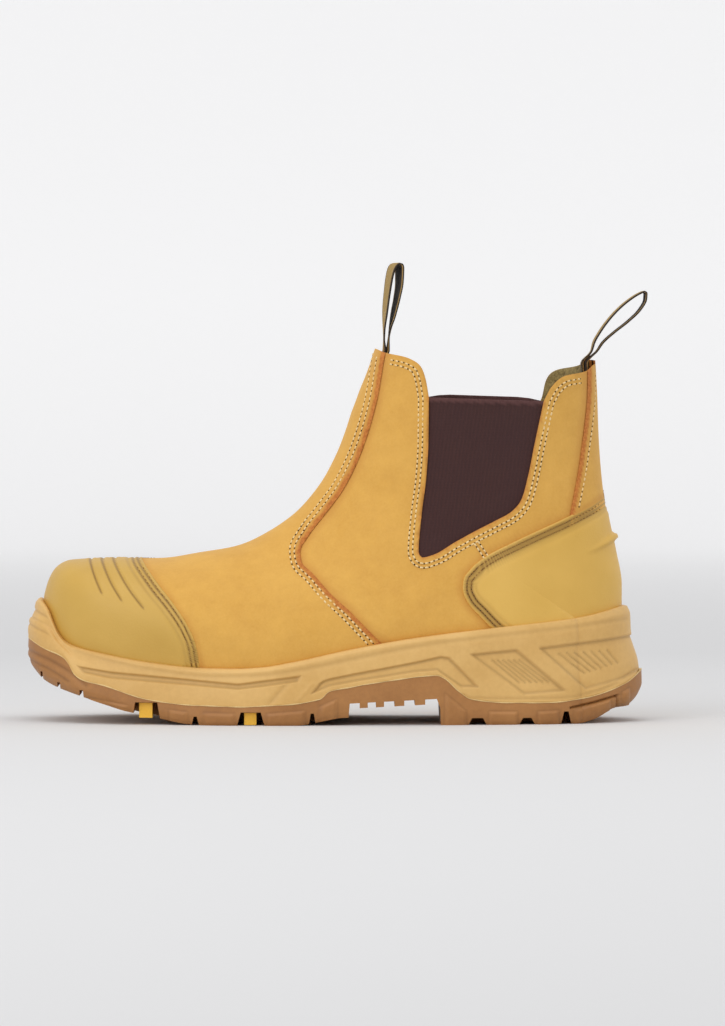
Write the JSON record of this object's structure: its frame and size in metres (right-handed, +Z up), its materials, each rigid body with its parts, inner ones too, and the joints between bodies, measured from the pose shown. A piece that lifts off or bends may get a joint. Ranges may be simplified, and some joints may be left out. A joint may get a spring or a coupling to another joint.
{
  "type": "side gore work boot",
  "caption": "Left ankle work boot in wheat nubuck with dark elastic side gores, toe cap, heel counter, pull loops and a lugged cup sole.",
  "frame": {"origin": "on the floor, under the middle of the boot's box", "axes": "+Z up, toe towards -X, outer (lateral) side of the left foot towards -Y"},
  "size_m": [0.3056, 0.1153, 0.2289],
  "materials": {
    "outsole_rubber": "satin gum rubber, fine grain",
    "midsole_foam": "satin moulded foam with a fine grain",
    "footbed_felt": "matte felt",
    "nubuck": "matte napped leather, slightly mottled",
    "overlay": "satin coated overlay with a fine grain",
    "elastic": "matte ribbed elastic",
    "webbing": "matte woven webbing",
    "cleat_rubber": "satin"
  },
  "bodies": {
    "root": {"outsole": "outsole_rubber", "midsole": "midsole_foam", "insole": "footbed_felt", "upper": "nubuck", "toe_cap": "overlay", "heel_counter": "overlay", "gore_lateral": "elastic", "gore_medial": "elastic", "pull_loop_front": "webbing", "pull_loop_rear": "webbing", "cleat_front_lateral": "cleat_rubber", "cleat_front_medial": "cleat_rubber", "cleat_mid_lateral": "cleat_rubber", "cleat_mid_medial": "cleat_rubber"}
  },
  "joints": []
}
